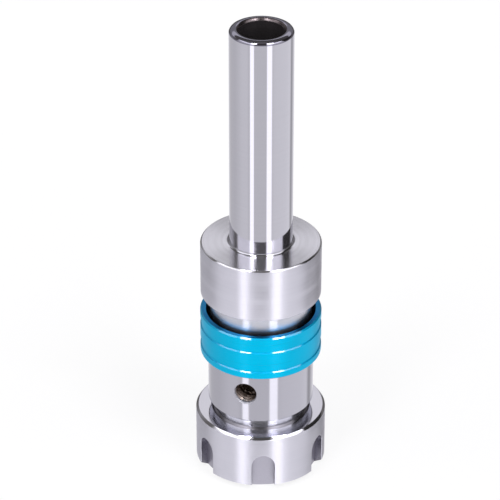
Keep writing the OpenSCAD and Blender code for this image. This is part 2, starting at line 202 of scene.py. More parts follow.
def mouth_cutter(radius, wall_r, bevel, height, turn):
    """A cone along a radius that bevels the mouth of a cross hole in a round wall.

    The wall falls away beside the hole, so the cone is flattened to cut as wide above as beside.
    """
    edge = math.sqrt(wall_r ** 2 - radius ** 2)
    within, beyond = 0.5, 1.5
    middle = (edge + (beyond - within) / 2) * MM
    turn = math.radians(turn)
    bpy.ops.object.select_all(action="DESELECT")
    bpy.ops.mesh.primitive_cone_add(
        vertices=SMALL_STEPS,
        radius1=(radius + bevel - within) * MM,
        radius2=(radius + bevel + beyond) * MM,
        depth=(within + beyond) * MM,
        location=(middle * math.cos(turn), middle * math.sin(turn), height * MM),
        rotation=(0, math.pi / 2, turn),
    )
    cutter = bpy.context.object
    cutter.scale.x = (radius + bevel) / (radius + bevel + wall_r - edge)
    bpy.ops.object.transform_apply(location=True, rotation=True, scale=True)
    return cutter


def block_cutter(inner, outer, width, low, high, turn):
    """A block along a radius, with straight sides, turned round the axis in degrees."""
    bpy.ops.object.select_all(action="DESELECT")
    middle = ((inner + outer) / 2 * MM, 0, (low + high) / 2 * MM)
    bpy.ops.mesh.primitive_cube_add(size=1, location=middle)
    cutter = bpy.context.object
    cutter.scale = ((outer - inner) * MM, width * MM, (high - low) * MM)
    bpy.ops.object.transform_apply(location=True, rotation=True, scale=True)
    cutter.rotation_euler.z = math.radians(turn)
    bpy.ops.object.transform_apply(location=True, rotation=True, scale=True)
    return cutter


def combine(piece, tool, operation):
    """Cuts the tool from the piece, or joins it on, and deletes the tool."""
    only(piece)
    modifier = piece.modifiers.new(operation.title(), "BOOLEAN")
    modifier.operation = operation
    modifier.solver = "EXACT"
    modifier.object = tool
    bpy.ops.object.modifier_apply(modifier=modifier.name)
    bpy.data.objects.remove(tool, do_unlink=True)


# %% [markdown]
# ## The shank
#
# The shank, flange, neck and hidden stem are one bar, turned and then ground on the shank so that
# it slides into a 20 mm tool bore. Its end has a slightly rounded bevel and a countersunk bore, and
# a small fillet leads from the flange into the shank. All of that is in one section.

# %% Model the shank
BORE_R, STEM_R, NECK_R, FLANGE_R, SHANK_R = 7.0, 10.5, 16.3, 19.2, 10.0
STEM_Z, NECK_Z, FLANGE_Z, FLANGE_TOP, SHANK_TOP = 41.46, 53.24, 63.0, 81.3, 155.4
NECK_BEVEL, FLANGE_LOW_BEVEL, FLANGE_TOP_BEVEL, FILLET = 0.2, 0.3, 0.5, 1
SINK_W, SINK_H = 0.75, 0.8
PIN_HOLE_R, PIN_HOLE_Z = 1.02, 42.61
# The rounded end, as steps inwards from the wall and down from the top.
END_STEPS = [(0, 1.1), (0.12, 0.8), (0.45, 0.38), (1, 0.13), (1.7, 0)]

shank = turned("shank", broken([
    (BORE_R, STEM_Z), (STEM_R, STEM_Z), (STEM_R, NECK_Z), (NECK_R - NECK_BEVEL, NECK_Z),
    (NECK_R, NECK_Z + NECK_BEVEL), (NECK_R, FLANGE_Z), (FLANGE_R - FLANGE_LOW_BEVEL, FLANGE_Z),
    (FLANGE_R, FLANGE_Z + FLANGE_LOW_BEVEL), (FLANGE_R, FLANGE_TOP - FLANGE_TOP_BEVEL),
    (FLANGE_R - FLANGE_TOP_BEVEL, FLANGE_TOP),
    *arc((SHANK_R + FILLET, FLANGE_TOP + FILLET), (FILLET, FILLET), 270, 180),
    *[(SHANK_R - inwards, SHANK_TOP - down) for inwards, down in END_STEPS],
    (BORE_R + SINK_W, SHANK_TOP), (BORE_R, SHANK_TOP - SINK_H),
]))
for turn in (-90, 90):
    hole = radial_cutter(PIN_HOLE_R, STEM_R - 2, STEM_R + 1, PIN_HOLE_Z, turn, PIN_STEPS)
    combine(shank, hole, "DIFFERENCE")
finish_mesh(shank)
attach(shank, "shank")
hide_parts("shank_body")

# %% [markdown]
# ## The chuck body
#
# The lower body is turned inside and out: the collet seat and the nut thread below, a relief
# groove, the bright wall, a groove for the rubber ring that grips the cover, and the cavity of the
# float drive above. Two driving lugs stand in the cavity. Three clamp screw holes run to the tool
# bore, and three small lock screw holes sit under the cover ring. The thread is cut as a row of
# grooves, because the nut hides all of it but an edge.

# %% Model the chuck body
BODY_R, SHOULDER_Z, RIM_Z, BODY_BEVEL = 16.95, 23.6, 49.0, 0.4
FIT_R, NOSE_Z, THREAD_TOP, PITCH, FLANK, THREAD_BEVEL = 15.6, 6.65, 19.5, 1.5, 0.4, 0.8
RELIEF_R, GRIP_R, GRIP_LOW, GRIP_HIGH = 14.9, 15.93, 43.95, 45.05
CAVITY_R, CAVITY_Z, TOOL_BORE_R, SEAT_R, SEAT_Z = 14.6, 38.66, 8.25, 9.69, 30.2
MOUTH_R, MOUTH_BEVEL = 13.0, 0.3
LUG_INNER, LUG_OUTER, LUG_W, LUG_LOW, LUG_HIGH = 10.0, 14.9, 6, 38.2, 40.96
SCREW_TURNS, SCREW_Z = (-107, 13, 133), 34.0
TAP_R, TAP_ROOT_R, TAP_PITCH, TAP_INNER, TAP_OUTER = 3.5, 3.85, 1.25, 6, 18
TAPPED_FROM, TAPPED_TO, HOLE_BEVEL = 9.6, 15.9, 0.35
LOCK_R, LOCK_INNER, LOCK_OUTER, LOCK_Z, LOCK_TURN = 1.22, 12, 18, 46.6, 60


def tap(turn):
    """The cutter of a clamp screw hole with its thread, laid along a radius."""
    cutter = turned("tap", [
        (ON_AXIS, TAP_INNER), (TAP_R, TAP_INNER),
        *groove_row(TAPPED_FROM, TAPPED_TO, TAP_PITCH, TAP_R, TAP_ROOT_R),
        (TAP_R, TAP_OUTER), (ON_AXIS, TAP_OUTER),
    ], SMALL_STEPS)
    only(cutter)
    cutter.rotation_euler = (0, math.pi / 2, math.radians(turn))
    cutter.location.z = SCREW_Z * MM
    bpy.ops.object.transform_apply(location=True, rotation=True, scale=True)
    return cutter


chuck = turned("chuck_body", broken([
    (MOUTH_R + MOUTH_BEVEL, NOSE_Z), (FIT_R - THREAD_BEVEL, NOSE_Z), (FIT_R, NOSE_Z + THREAD_BEVEL),
    *groove_row(NOSE_Z + THREAD_BEVEL, THREAD_TOP, PITCH, FIT_R, FIT_R - FLANK),
    (FIT_R, THREAD_TOP), (RELIEF_R, THREAD_TOP + THREAD_BEVEL), (RELIEF_R, SHOULDER_Z),
    (BODY_R - BODY_BEVEL, SHOULDER_Z), (BODY_R, SHOULDER_Z + BODY_BEVEL),
    (BODY_R, GRIP_LOW), (GRIP_R, GRIP_LOW), (GRIP_R, GRIP_HIGH), (BODY_R, GRIP_HIGH),
    (BODY_R, RIM_Z), (CAVITY_R, RIM_Z), (CAVITY_R, CAVITY_Z), (TOOL_BORE_R, CAVITY_Z),
    (TOOL_BORE_R, SEAT_Z), (SEAT_R, SEAT_Z), (MOUTH_R, NOSE_Z + MOUTH_BEVEL),
], width=0.04))
for turn in (-90, 90):
    combine(chuck, block_cutter(LUG_INNER, LUG_OUTER, LUG_W, LUG_LOW, LUG_HIGH, turn), "UNION")
for turn in SCREW_TURNS:
    combine(chuck, tap(turn), "DIFFERENCE")
    combine(chuck, mouth_cutter(TAP_R, BODY_R, HOLE_BEVEL, SCREW_Z, turn), "DIFFERENCE")
    lock_hole = radial_cutter(LOCK_R, LOCK_INNER, LOCK_OUTER, LOCK_Z, turn + LOCK_TURN, PIN_STEPS)
    combine(chuck, lock_hole, "DIFFERENCE")
finish_mesh(chuck)
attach(chuck, "chuck")
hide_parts("collet_chuck")

# %% [markdown]
# ## The blue ring
#
# The cover ring is a loose sleeve with two shallow grooves, a rounded lower edge and a flat bevel
# on the upper one. The short slopes beside the grooves and the bevel are what catch the softboxes
# as small white spots, so they are drawn in the section and not left to a bump map. Their corners
# stay sharp: a broken corner would smooth a slope this short into the wall, and it would mirror
# the wrong part of the room.

# %% Model the cover ring
RING_R, RING_LOW, RING_HIGH, GROOVE_R = 19.4, 41.4, 56.6, 19.05
LOWER_GROOVE, UPPER_GROOVE = (43.75, 44.1, 46.65, 46.95), (51.0, 51.35, 53.9, 54.2)
LOW_ROUND, HIGH_BEVEL, TOP_EDGE_R, FOOT_R = 0.6, 0.45, 17.6, 17.3
SLEEVE_BORE_R, GRIP_BORE_R, STEP_LOW, STEP_HIGH = 17.45, 17.0, 45.7, 46.0


def groove(heights):
    """A groove in the sleeve's wall, from the heights of its four corners."""
    return list(zip((RING_R, GROOVE_R, GROOVE_R, RING_R), heights))


ring = turned("cover_sleeve", [
    (FOOT_R, RING_LOW), *arc((RING_R - LOW_ROUND, RING_LOW + LOW_ROUND), (LOW_ROUND, LOW_ROUND), 270, 360),
    *groove(LOWER_GROOVE), *groove(UPPER_GROOVE),
    (RING_R, RING_HIGH - HIGH_BEVEL), (RING_R - HIGH_BEVEL, RING_HIGH), (TOP_EDGE_R, RING_HIGH),
    (SLEEVE_BORE_R, RING_HIGH - 0.15), (SLEEVE_BORE_R, STEP_HIGH), (GRIP_BORE_R, STEP_LOW),
    (GRIP_BORE_R, RING_LOW + 0.3),
])
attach(ring, "cover")
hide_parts("cover_ring")

# %% [markdown]
# ## The clamping nut
#
# The nut is turned with its thread and the pocket of the extraction ring, and six spanner slots
# are milled into its rim. Each slot is a round-ended pocket with a flat floor, open to the front
# face, so the cutter is a cylinder and a block along the same radius. The slots are milled one
# after the other with the same cutter, as an indexing head would do it.

# %% Model the clamping nut
NUT_R, NUT_H, SLOT_FLOOR, SLOT_W, SLOT_H = 21.0, 20.0, 18.0, 7.2, 13.0
NUT_THREAD_R, NUT_THREAD_LOW, NUT_CONE_H, NUT_BEVEL = FIT_R + 0.05, 6.85, 1.75, 0.8
POCKET_R, POCKET_LOW, POCKET_TOP, EYE_R, EYE_BEVEL = 14.2, 1.6, 6.45, 12.2, 0.3
SNAP_R, SNAP_LOW, SNAP_HIGH = 14.65, 4.95, 5.85
SLOT_COUNT, SLOT_TURN, MILL_START = 6, 2.5, -3

nut = turned("slotted_nut", broken([
    (EYE_R + EYE_BEVEL, 0), (SLOT_FLOOR, 0), (NUT_R, NUT_CONE_H), (NUT_R, NUT_H - NUT_BEVEL),
    (NUT_R - NUT_BEVEL, NUT_H), (NUT_THREAD_R + FLANK, NUT_H), (NUT_THREAD_R, NUT_H - FLANK),
    *reversed(groove_row(NUT_THREAD_LOW, NUT_H - FLANK, PITCH, NUT_THREAD_R, NUT_THREAD_R + FLANK)),
    (NUT_THREAD_R, POCKET_TOP), (POCKET_R, POCKET_TOP), (POCKET_R, SNAP_HIGH), (SNAP_R, SNAP_HIGH),
    (SNAP_R, SNAP_LOW), (POCKET_R, SNAP_LOW), (POCKET_R, POCKET_LOW), (EYE_R, POCKET_LOW),
    (EYE_R, EYE_BEVEL),
], width=0.08))
ARCH = SLOT_H - SLOT_W / 2
EDGE = math.sqrt(NUT_R ** 2 - (SLOT_W / 2) ** 2)


def slot_mill(width, inner, outer, arch, flare=1.0):
    """A round-topped cutter on the X axis whose outer end is wider by the flare."""
    mill = radial_cutter(width / 2, inner, outer, arch, 0)
    combine(mill, block_cutter(inner, outer, width, MILL_START, arch, 0), "UNION")
    only(mill)
    bpy.ops.object.mode_set(mode="EDIT")
    bpy.ops.mesh.select_all(action="DESELECT")
    bpy.ops.object.mode_set(mode="OBJECT")
    for vertex in mill.data.vertices:
        vertex.select = vertex.co.x > (inner + outer) / 2 * MM
    bpy.ops.object.mode_set(mode="EDIT")
    bpy.ops.transform.resize(value=(1, flare, flare), center_override=(outer * MM, 0, arch * MM))
    bpy.ops.object.mode_set(mode="OBJECT")
    return mill


mill = slot_mill(SLOT_W, SLOT_FLOOR, NUT_R + 1, ARCH)
burr = slot_mill(SLOT_W, EDGE - 0.2, EDGE + 0.8, ARCH - (NUT_R - EDGE), 1 + 2 / SLOT_W)
for index in range(SLOT_COUNT):
    for cutter in (mill, burr):
        only(cutter)
        bpy.ops.object.duplicate(linked=False)
        copy = bpy.context.object
        copy.rotation_euler.z = math.radians(SLOT_TURN - 90 + 360 / SLOT_COUNT * index)
        bpy.ops.object.transform_apply(location=False, rotation=True, scale=False)
        combine(nut, copy, "DIFFERENCE")
for cutter in (mill, burr):
    bpy.data.objects.remove(cutter, do_unlink=True)
finish_mesh(nut)
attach(nut, "nut")
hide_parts("clamping_nut")

# %% [markdown]
# ## The clamp screws
#
# Each screw is a headless set screw with a hexagon socket and a flat tip. It is turned upright
# with its thread grooves, the socket is cut with a six-sided cutter, and it is then laid along its
# radius. The other two are copies with their own mesh, turned round the holder.

# %% Model one set screw and copy it
SCREW_R, SCREW_L, SCREW_OUT, SCREW_PITCH, SCREW_FLANK = 3.45, 6.0, 12.25, 0.85, 0.3
TIP_BEVEL, SOCKET_BEVEL, THREAD_END = 0.7, 0.3, -0.35
KEY, KEY_DEPTH = 4.0, 3


def set_screw():
    """A set screw along +Z, with its socket end at the origin."""
    body = turned("clamp_set_screw_1", broken([
        (ON_AXIS, -SCREW_L), (SCREW_R - TIP_BEVEL, -SCREW_L), (SCREW_R, -SCREW_L + TIP_BEVEL),
        *groove_row(-SCREW_L + TIP_BEVEL, THREAD_END, SCREW_PITCH, SCREW_R, SCREW_R - SCREW_FLANK),
        (SCREW_R, -SOCKET_BEVEL), (SCREW_R - SOCKET_BEVEL, 0), (ON_AXIS, 0),
    ], width=0.03), SMALL_STEPS)
    bpy.ops.object.select_all(action="DESELECT")
    bpy.ops.mesh.primitive_cylinder_add(
        vertices=6, radius=KEY / math.sqrt(3) * MM, depth=2 * KEY_DEPTH * MM, location=(0, 0, 0))
    combine(body, bpy.context.object, "DIFFERENCE")
    bpy.ops.object.select_all(action="DESELECT")
    bpy.ops.mesh.primitive_cone_add(
        vertices=48, radius1=(KEY / 2 - 0.1) * MM, radius2=(KEY / 2 + 0.5) * MM, depth=0.6 * MM,
        location=(0, 0, -0.1 * MM))
    combine(body, bpy.context.object, "DIFFERENCE")
    return finish_mesh(body)


screws = [set_screw()]
only(screws[0])
screws[0].rotation_euler.y = math.pi / 2
screws[0].location = (SCREW_OUT * MM, 0, SCREW_Z * MM)
bpy.ops.object.transform_apply(location=True, rotation=True, scale=True)
for index in range(1, 3):
    only(screws[0])
    bpy.ops.object.duplicate(linked=False)
    bpy.context.object.name = bpy.context.object.data.name = f"clamp_set_screw_{index + 1}"
    screws.append(bpy.context.object)
for index, (screw, turn) in enumerate(zip(screws, SCREW_TURNS), start=1):
    only(screw)
    screw.rotation_euler.z = math.radians(turn)
    bpy.ops.object.transform_apply(location=True, rotation=True, scale=True)
    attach(screw, f"screw_{index}")
    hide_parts(f"clamp_screw_{index}")
print("set screws:", [s.name for s in screws])

# %% [markdown]
# ## Nodes for the finishes
#
# Every finish is procedural. One helper adds a node, sets it and links it, and one turns the hex
# colours, which are sRGB, into the linear values that Blender works in.

# %% Node and colour helpers
# The values of a noise at which a finish is darkest and lightest.
DARK_AT, LIGHT_AT = 0.3, 0.7


def add(tree, kind, inputs=None, **settings):
    """Adds a node; inputs gives each socket a value or another node's output."""
    made = tree.nodes.new(kind)
    for name, value in settings.items():
        setattr(made, name, value)
    for socket, value in (inputs or {}).items():
        if isinstance(value, bpy.types.NodeSocket):
            tree.links.new(value, made.inputs[socket])
        else:
            made.inputs[socket].default_value = value
    return made


def linear(code):
    """A hex colour as linear red, green, blue and alpha."""
    channels = [int(code[i:i + 2], 16) / 255 for i in (1, 3, 5)]
    return (*[c / 12.92 if c <= 0.04045 else ((c + 0.055) / 1.055) ** 2.4 for c in channels], 1)


def shades(tree, factor, stops):
    """A colour ramp from (place, hex colour) stops, driven by a factor."""
    ramp = add(tree, "ShaderNodeValToRGB", {"Fac": factor})
    stops = sorted(stops)
    for place, code in stops[1:-1]:
        ramp.color_ramp.elements.new(place).color = linear(code)
    for element, (place, code) in zip(ramp.color_ramp.elements, stops):
        element.position = place
        element.color = linear(code)
    return ramp.outputs["Color"]


def new_material(name, metallic, roughness, **constants):
    """A material with its Principled shader set, ready for its pattern."""
    material = bpy.data.materials.new(name)
    material.use_nodes = True
    tree = material.node_tree
    shader = tree.nodes["Principled BSDF"]
    shader.inputs["Metallic"].default_value = metallic
    shader.inputs["Roughness"].default_value = roughness
    for socket, value in constants.items():
        shader.inputs[socket.replace("_", " ")].default_value = value
    return material, tree, shader


def vary_gloss(tree, shader, factor, at_dark, at_light):
    """Lets the roughness follow a noise between two values."""
    gloss = add(tree, "ShaderNodeMapRange",
                {"Value": factor, "From Min": DARK_AT, "From Max": LIGHT_AT,
                 "To Min": at_dark, "To Max": at_light})
    tree.links.new(gloss.outputs["Result"], shader.inputs["Roughness"])


def add_bump(tree, shader, height, depth_um):
    """Makes a noise a bump of so many thousandths of a millimetre."""
    bump = add(tree, "ShaderNodeBump",
               {"Height": height, "Strength": 1.0, "Distance": depth_um * MM / 1000})
    tree.links.new(bump.outputs["Normal"], shader.inputs["Normal"])


# %% [markdown]
# ## Machined steel
#
# A lathe leaves fine rings round the part: along the wall they follow the height, and on a face
# they follow the radius. A noise that is read only by radius and height gives both at once,
# whatever way the face looks. The rings spread a reflection along the axis and leave it sharp
# across, which is why steel shafts show long straight streaks, so the shader is anisotropic with
# its tangent round the axis. A second, broad noise stands for the faint stains of oil and handling.

# %% The turned steel finish
STAIN_MM = 9


def turned_steel(name, light, dark, roughness, rings_mm, depth_um, spread, stain=0.35):
    """Steel with rings of one width, from a light and a dark tone of the same grey."""
    material, tree, shader = new_material(name, 1.0, roughness, Anisotropic=spread,
                                          Anisotropic_Rotation=0.25)
    place = add(tree, "ShaderNodeTexCoord").outputs["Object"]
    flat = add(tree, "ShaderNodeVectorMath", {0: place, 1: (1, 1, 0)}, operation="MULTIPLY")
    radius = add(tree, "ShaderNodeVectorMath", {0: flat.outputs["Vector"]}, operation="LENGTH")
    height = add(tree, "ShaderNodeSeparateXYZ", {0: place}).outputs["Z"]
    section = add(tree, "ShaderNodeCombineXYZ", {"X": radius.outputs["Value"], "Y": height})
    rings = add(tree, "ShaderNodeTexNoise",
                {"Vector": section.outputs[0], "Scale": 1 / (rings_mm * MM), "Detail": 3.0})
    stains = add(tree, "ShaderNodeTexNoise",
                 {"Vector": place, "Scale": 1 / (STAIN_MM * MM), "Detail": 4.0})
    tone = add(tree, "ShaderNodeMix",
               {0: stain, 2: rings.outputs["Fac"], 3: stains.outputs["Fac"]}, data_type="FLOAT")
    tree.links.new(shades(tree, tone.outputs[0], [(DARK_AT, dark), (LIGHT_AT, light)]),
                   shader.inputs["Base Color"])
    vary_gloss(tree, shader, tone.outputs[0], roughness * 1.25, roughness * 0.8)
    add_bump(tree, shader, rings.outputs["Fac"], depth_um)
    around = add(tree, "ShaderNodeTangent", direction_type="RADIAL", axis="Z")
    tree.links.new(around.outputs["Tangent"], shader.inputs["Tangent"])
    return material


# Cylindrically ground and polished: almost a mirror, with hairlines too fine to count.
ground_steel = turned_steel("ground_steel", "#D4D3DA", "#D1D0D7", 0.06, 0.9, 0.004, 0.4)
# The rounded end is given a darker blue-grey steel than the ground shank.
end_steel = turned_steel("darker_end_steel", "#A7A5B2", "#9B99A6", 0.08, 0.6, 0.006, 0.3)
# Fine turned: the rings blur every reflection up and down, so the streaks are straight and soft.
fine_turned_steel = turned_steel("fine_turned_steel", "#EFEEF7", "#ECEBF4", 0.38, 0.7, 0.006, 1.0)
# Faces and bevels were cut with a finishing pass and mirror the part that stands on them.
faced_steel = turned_steel("finish_faced_steel", "#EEEDF3", "#EAE9EF", 0.2, 0.5, 0.006, 0.9)
# The nut's face is lapped after that, and shows the body above it almost as a mirror would.
lapped_steel = turned_steel("lapped_face_steel", "#DEDDE4", "#DAD9E0", 0.09, 0.5, 0.004, 0.5)
# The neck runs in the seal, so it is fine turned and then polished, as is the relief groove.
neck_steel = turned_steel("polished_neck_steel", "#DEDFE6", "#DADBE2", 0.22, 0.6, 0.006, 0.9)
# The body's polished wall, between the shank and the flange.
polished_steel = turned_steel("polished_turned_steel", "#CAC9D1", "#C7C6CE", 0.12, 0.6, 0.006, 0.6)
# The nut's tumbled and turned wall: satin, with wide soft streaks.
nut_steel = turned_steel("satin_turned_nut_steel", "#EFEEF7", "#EBEAF3", 0.38, 0.7, 0.006, 1.0)
# Inside the bore the steel is left as drilled; its dark grey is partly its own and partly painted shade.
bore_steel = turned_steel("drilled_bore_steel_and_painted_shade", "#7E797B", "#5E5A5C", 0.5, 1.2, 1.0, 0.0)
# The countersink at its mouth is cut with a coarser tool, which leaves fine bright arcs.
countersunk_steel = turned_steel("countersunk_steel", "#82797A", "#524B4C", 0.25, 0.35, 0.8, 0.0,
                                 stain=0.1)
# The deburred mouths of the cross holes are matt, so they draw an even light ring.
deburred_steel = turned_steel("deburred_edge_steel", "#C9C8CE", "#BFBEC4", 0.6, 0.5, 0.2, 0.0)
# Threads hold oil and look darker.
thread_steel = turned_steel("oiled_thread_steel", "#9C9AA1", "#86848B", 0.2, 0.4, 0.1, 0.0)
# Races, collar, disc and pins inside the float drive: hardened and surface ground.
hardened_steel = turned_steel("hardened_ground_steel", "#A9A8AD", "#98979C", 0.18, 0.4, 0.05, 0.3)

# %% [markdown]
# ## The milled slots
#
# An end mill leaves overlapping arcs and the slots are blasted afterwards, so their floors are
# matt and a little darker than the turned wall. A fine noise in all three directions gives the
# blasted grain.

# %% Matt milled steel, black oxide, brass and rubber
def grained(name, metallic, stops, roughness, grain_mm, depth_um):
    """A finish with an even grain in every direction, for blasted, coated or moulded skin."""
    material, tree, shader = new_material(name, metallic, roughness)
    place = add(tree, "ShaderNodeTexCoord").outputs["Object"]
    grain = add(tree, "ShaderNodeTexNoise",
                {"Vector": place, "Scale": 1 / (grain_mm * MM), "Detail": 5.0})
    tree.links.new(shades(tree, grain.outputs["Fac"], stops), shader.inputs["Base Color"])
    vary_gloss(tree, shader, grain.outputs["Fac"], roughness * 0.85, roughness * 1.15)
    add_bump(tree, shader, grain.outputs["Fac"], depth_um)
    return material


milled_steel = grained("blasted_milled_steel", 1.0, [(DARK_AT, "#B4B2BC"), (LIGHT_AT, "#C2C0CA")],
                       0.42, 0.25, 3.0)
# The cutter burnishes the slot walls; their darker steel is painted shade of the deep slot.
shaded_slot_wall_steel = grained("painted_shade_slot_wall", 1.0, [(DARK_AT, "#716F78"), (LIGHT_AT, "#8A8891")],
                          0.3, 0.3, 3.0)
# Black oxide is a thin, warm, dark skin on steel that stays a little shiny.
black_oxide = grained("black_oxide_steel", 1.0,
                      [(DARK_AT, "#5A5450"), (0.55, "#857B74"), (0.72, "#BDB2A9")], 0.25, 0.6, 6.0)
# The drilled wall of the screw holes shows a brown heat tint.
hole_steel = grained("brown_tapped_hole_steel", 1.0, [(DARK_AT, "#87786F"), (LIGHT_AT, "#B0A299")],
                     0.3, 0.4, 3.0)
# Cage brass is stamped and tumbled to a satin.
cage_brass = grained("tumbled_cage_brass", 1.0, [(DARK_AT, "#C7A25A"), (LIGHT_AT, "#D9B870")],
                     0.3, 0.5, 1.0)
# Nitrile rubber is matt black with a fine moulded skin.
seal_rubber = grained("nitrile_rubber", 0.0, [(DARK_AT, "#1B1B1D"), (LIGHT_AT, "#242427")],
                      0.62, 0.3, 3.0)

# %% [markdown]
# ## The blue anodised sleeve
#
# The sleeve is aluminium, turned, dyed blue and sealed. The dye lies in a clear oxide layer over
# bright metal, so the room is reflected in blue and the dye swallows nearly all red light. A
# metallic base gives that tinted reflection, and a thin coat gives the small white spots of the
# softboxes on the edges. The upper face under the flange, the bore and the slopes get darker
# blues as painted shade.

# %% Blue sleeve finish
CLOUD_MM, WAVE_MM, WAVE_UM = 6, 1.5, 0.5


def anodised(name, light, dark, roughness, coat):
    """Dyed and sealed aluminium with a faint cloud in the dye and a slightly wavy gloss."""
    material, tree, shader = new_material(name, 1.0, roughness, Coat_Weight=coat, Coat_IOR=1.77,
                                          Coat_Roughness=0.05)
    place = add(tree, "ShaderNodeTexCoord").outputs["Object"]
    cloud = add(tree, "ShaderNodeTexNoise", {"Vector": place, "Scale": 1 / (CLOUD_MM * MM), "Detail": 3.0})
    tree.links.new(shades(tree, cloud.outputs["Fac"], [(DARK_AT, dark), (LIGHT_AT, light)]),
                   shader.inputs["Base Color"])
    wave = add(tree, "ShaderNodeTexNoise", {"Vector": place, "Scale": 1 / (WAVE_MM * MM)})
    add_bump(tree, shader, wave.outputs["Fac"], WAVE_UM)
    return material


blue_sleeve = anodised("blue_anodised_aluminium", "#00CBF3", "#00C6EE", 0.45, 0.06)
# The groove slopes were burnished before dyeing and have a full gloss; their darker blue is painted shade.
gloss_and_shade_edge_blue = anodised("glossy_blue_edge_painted_shade", "#00BCE8", "#00B6E1", 0.6, 1.0)
# Painted shade: the upper face under the flange is a deeper blue.
painted_shade_top_blue = anodised("painted_shade_blue_top_face", "#018ECB", "#0188C4", 0.3, 0.1)
# Painted shade: the inside of the sleeve, in the gap round the neck, is a near black blue.
shaded_blue = anodised("painted_shade_blue_sleeve_bore", "#013B58", "#01304A", 0.5, 0.05)
print("finishes made:", len(bpy.data.materials))

# %% [markdown]
# ## Giving each face its finish
#
# One turned part can have several finishes. The faces are told apart by where they lie: the bore
# by its radius, the thread by its height, a slot floor by its distance from the axis. A rule for
# each part names the finish of a face from its radius, its height and its normal.

# %% Hand out the finishes
HAIR, NEAR, SLACK = 0.02, 0.03, 0.1
CAVITY_FLOOR, RIM_DEPTH, SLOT_EDGE_DEPTH = 38, 1.1, 0.6


def dress(piece, materials, choose):
    """Fills the slots and gives each face the material that choose(radius, height, normal) names."""
    piece.data.materials.clear()
    for material in materials:
        piece.data.materials.append(material)
    for face in piece.data.polygons:
        r = math.hypot(face.center.x, face.center.y) / MM
        face.material_index = materials.index(choose(r, face.center.z / MM, face.normal))


def one_finish(piece, material):
    """Gives the whole piece one material."""
    piece.data.materials.clear()
    piece.data.materials.append(material)


def shank_finish(r, z, normal):
    """The bore and its countersink come first, then the parts of the wall from the top down."""
    # The bore's dark grey is partly painted shade of the deep bore.
    if r < BORE_R + NEAR:
        return bore_steel
    if r < BORE_R + SINK_W - NEAR and normal.z > 0.1:
        return countersunk_steel
    if z > SHANK_TOP - 1:
        return end_steel
    if z > FLANGE_TOP + HAIR:
        return ground_steel
    if normal.z > 0.5:
        return faced_steel
    if r < NECK_R + SLACK:
        return neck_steel
    return fine_turned_steel


def chuck_finish(r, z, normal):
    """The relief groove, the thread and seat, the cavity, then the screw holes in the bright wall."""
    if THREAD_TOP + THREAD_BEVEL + SLACK < z < SHOULDER_Z + SLACK and r > MOUTH_R:
        return neck_steel
    if z < SHOULDER_Z + SLACK:
        return thread_steel
    # The cavity takes the same dark bore steel, partly painted shade.
    if r < CAVITY_R + SLACK and z > CAVITY_FLOOR:
        return bore_steel
    if BODY_R - RIM_DEPTH < r < BODY_R - 0.01 and SCREW_Z - 5 < z < SCREW_Z + 5:
        return deburred_steel
    if r < BODY_R - 0.8 and SHOULDER_Z < z < CAVITY_FLOOR:
        return hole_steel
    return polished_steel


def ring_finish(r, z, normal):
    """The upper face, the inside, then the slopes and the wall."""
    # Painted shade: the upper face under the flange takes the deeper blue.
    if z > RING_HIGH - HAIR:
        return painted_shade_top_blue
    # Painted shade: the inside of the sleeve is near black.
    if r < TOP_EDGE_R + SLACK:
        return shaded_blue
    # Painted shade: the slopes take the darker gloss blue, drawing dark lines on the downward ones.
    if abs(normal.z) > 0.25:
        return gloss_and_shade_edge_blue
    return blue_sleeve


def nut_finish(r, z, normal):
    """The inside, the upper face, the turned wall, then the floors and walls of the slots."""
    if r < NUT_THREAD_R + FLANK + HAIR and 0.2 < z < NUT_H - SLACK:
        return thread_steel
    if normal.z > 0.5:
        return lapped_steel
    if normal.z < -0.9 or z > SLOT_H or r > NUT_R - SLOT_EDGE_DEPTH:
        return nut_steel
    if r < SLOT_FLOOR + 0.4 and z > 0:
        return milled_steel
    # Painted shade: the slot walls and arch undersides take a darker steel.
    if r < NUT_R - SLOT_EDGE_DEPTH and abs(normal.z) < 0.999:
        return shaded_slot_wall_steel
    return nut_steel


dress(shank, [ground_steel, fine_turned_steel, faced_steel, neck_steel, bore_steel, countersunk_steel,
              end_steel], shank_finish)
dress(chuck, [polished_steel, thread_steel, hole_steel, bore_steel, deburred_steel, neck_steel],
      chuck_finish)
dress(ring, [blue_sleeve, painted_shade_top_blue, shaded_blue, gloss_and_shade_edge_blue], ring_finish)
dress(nut, [nut_steel, thread_steel, lapped_steel, milled_steel, shaded_slot_wall_steel], nut_finish)
for screw in screws:
    one_finish(screw, black_oxide)

inner_finish = {
    "upper_race": hardened_steel, "thrust_collar": hardened_steel, "collar_pins": hardened_steel,
    "cross_disc": hardened_steel, "upper_ball_cage": cage_brass, "upper_balls": hardened_steel,
    "lower_ball_cage": cage_brass, "lower_balls": hardened_steel, "gland_nut": hardened_steel,
    "gland_lock_screws": black_oxide, "lower_race": hardened_steel, "buffer_ring": seal_rubber,
    "dust_seal": seal_rubber, "grip_ring": seal_rubber, "extraction_ring": hardened_steel,
    "nut_snap_ring": black_oxide,
}
for node_name, material in inner_finish.items():
    one_finish(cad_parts[node_name], material)
print("inner parts dressed:", len(inner_finish))

# %% [markdown]
# ## The camera
#
# The camera stands in front of the holder, 31 degrees above it, with a long lens as for a
# catalogue picture. The holder is a little right of the middle, which the lens shift gives.

# %% Camera
TARGET = Vector((0, 0, 0.0777))
DISTANCE, ELEVATION, ROLL = 0.8885, math.radians(30.65), math.radians(0.143)
SENSOR, LENS, SHIFT = 36, 202.6, -0.022

